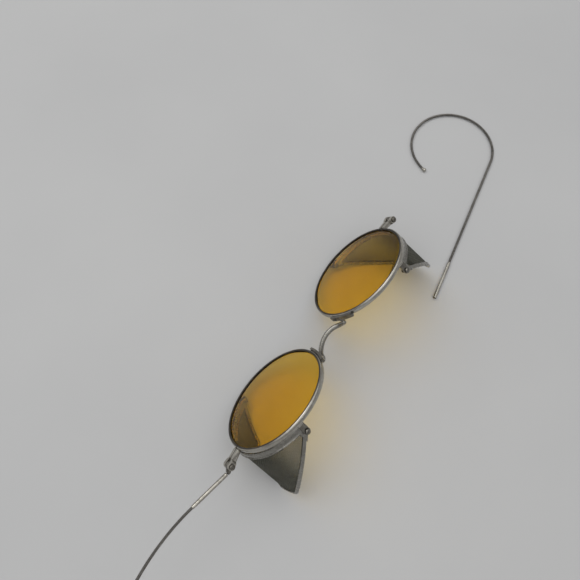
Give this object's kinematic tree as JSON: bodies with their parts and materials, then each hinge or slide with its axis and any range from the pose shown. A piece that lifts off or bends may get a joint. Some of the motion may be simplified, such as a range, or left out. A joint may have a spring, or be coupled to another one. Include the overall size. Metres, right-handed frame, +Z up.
{
  "type": "glacier glasses",
  "caption": "Folding glacier glasses: round amber lenses in wire eyewires, gauze side shields on rivets, a crank bridge and cable temples, with the left temple lying loose beside the frame.",
  "frame": {"origin": "centre of the bounding box footprint, on the table the spectacles lie on", "axes": "+Z up from the table; +Y away from the viewer; +X to the viewer's right"},
  "size_m": [0.1776, 0.2724, 0.0571],
  "materials": {
    "nickel": "worn nickel plate, satin",
    "dark_nickel": "tarnished nickel plate",
    "binding": "folded sheet metal, rubbed and dull",
    "gauze": "fine woven wire, dark lacquer",
    "cable": "close-wound wire, dull nickel",
    "lens": "polished amber-brown glass"
  },
  "bodies": {
    "frame": {"right_eyewire": "nickel", "right_lens": "lens", "right_endpiece_upper": "nickel", "right_endpiece_lower": "nickel", "right_hinge_screw": "dark_nickel", "right_bridge_foot": "dark_nickel", "right_brow_lug": "nickel", "right_cheek_lug": "nickel", "right_cheek_rivet": "dark_nickel", "right_brow_rivet": "dark_nickel", "left_eyewire": "nickel", "left_lens": "lens", "left_endpiece_upper": "nickel", "left_endpiece_lower": "nickel", "left_hinge_screw": "dark_nickel", "left_bridge_foot": "dark_nickel", "left_brow_lug": "nickel", "left_cheek_lug": "nickel", "left_cheek_rivet": "dark_nickel", "left_brow_rivet": "dark_nickel", "bridge_wire": "dark_nickel"},
    "right_temple": {"right_temple_butt": "dark_nickel", "right_temple_sleeve": "nickel", "right_temple_cable": "cable", "right_temple_tip": "nickel"},
    "left_temple_eye": {"left_temple_eye": "dark_nickel"},
    "right_shield": {"right_shield_gauze": "gauze", "right_shield_front_binding": "binding", "right_shield_rear_binding": "binding", "right_shield_brow_tab": "binding", "right_shield_cheek_tab": "binding"},
    "left_shield": {"left_shield_gauze": "gauze", "left_shield_front_binding": "binding", "left_shield_rear_binding": "binding", "left_shield_brow_tab": "binding", "left_shield_cheek_tab": "binding"},
    "loose_temple": {"left_temple_sleeve": "nickel", "left_temple_cable": "cable", "left_temple_tip": "nickel"}
  },
  "joints": [
    {"name": "right_temple_hinge", "type": "hinge", "parent": "frame", "child": "right_temple", "pos_m": [-0.03735, -0.04041, 0.02202], "axis": [0.5259, -0.3331, 0.7826], "range_deg": [0, 100]},
    {"name": "left_temple_eye_hinge", "type": "hinge", "parent": "frame", "child": "left_temple_eye", "pos_m": [0.02873, 0.06173, 0.02109], "axis": [-0.5259, 0.3331, -0.7826], "continuous": true},
    {"name": "right_shield_pivot", "type": "hinge", "parent": "frame", "child": "right_shield", "pos_m": [-0.0216, -0.02176, 0.01917], "axis": [0.5684, -0.365, 0.7373], "range_deg": [0, 80]},
    {"name": "left_shield_pivot", "type": "hinge", "parent": "frame", "child": "left_shield", "pos_m": [0.01815, 0.0397, 0.01861], "axis": [-0.5721, 0.3593, -0.7373], "range_deg": [0, 80]},
    {"name": "loose_temple_lift", "type": "slide", "parent": "frame", "child": "loose_temple", "axis": [0, 0, 1], "range_m": [0, 0.06]}
  ]
}
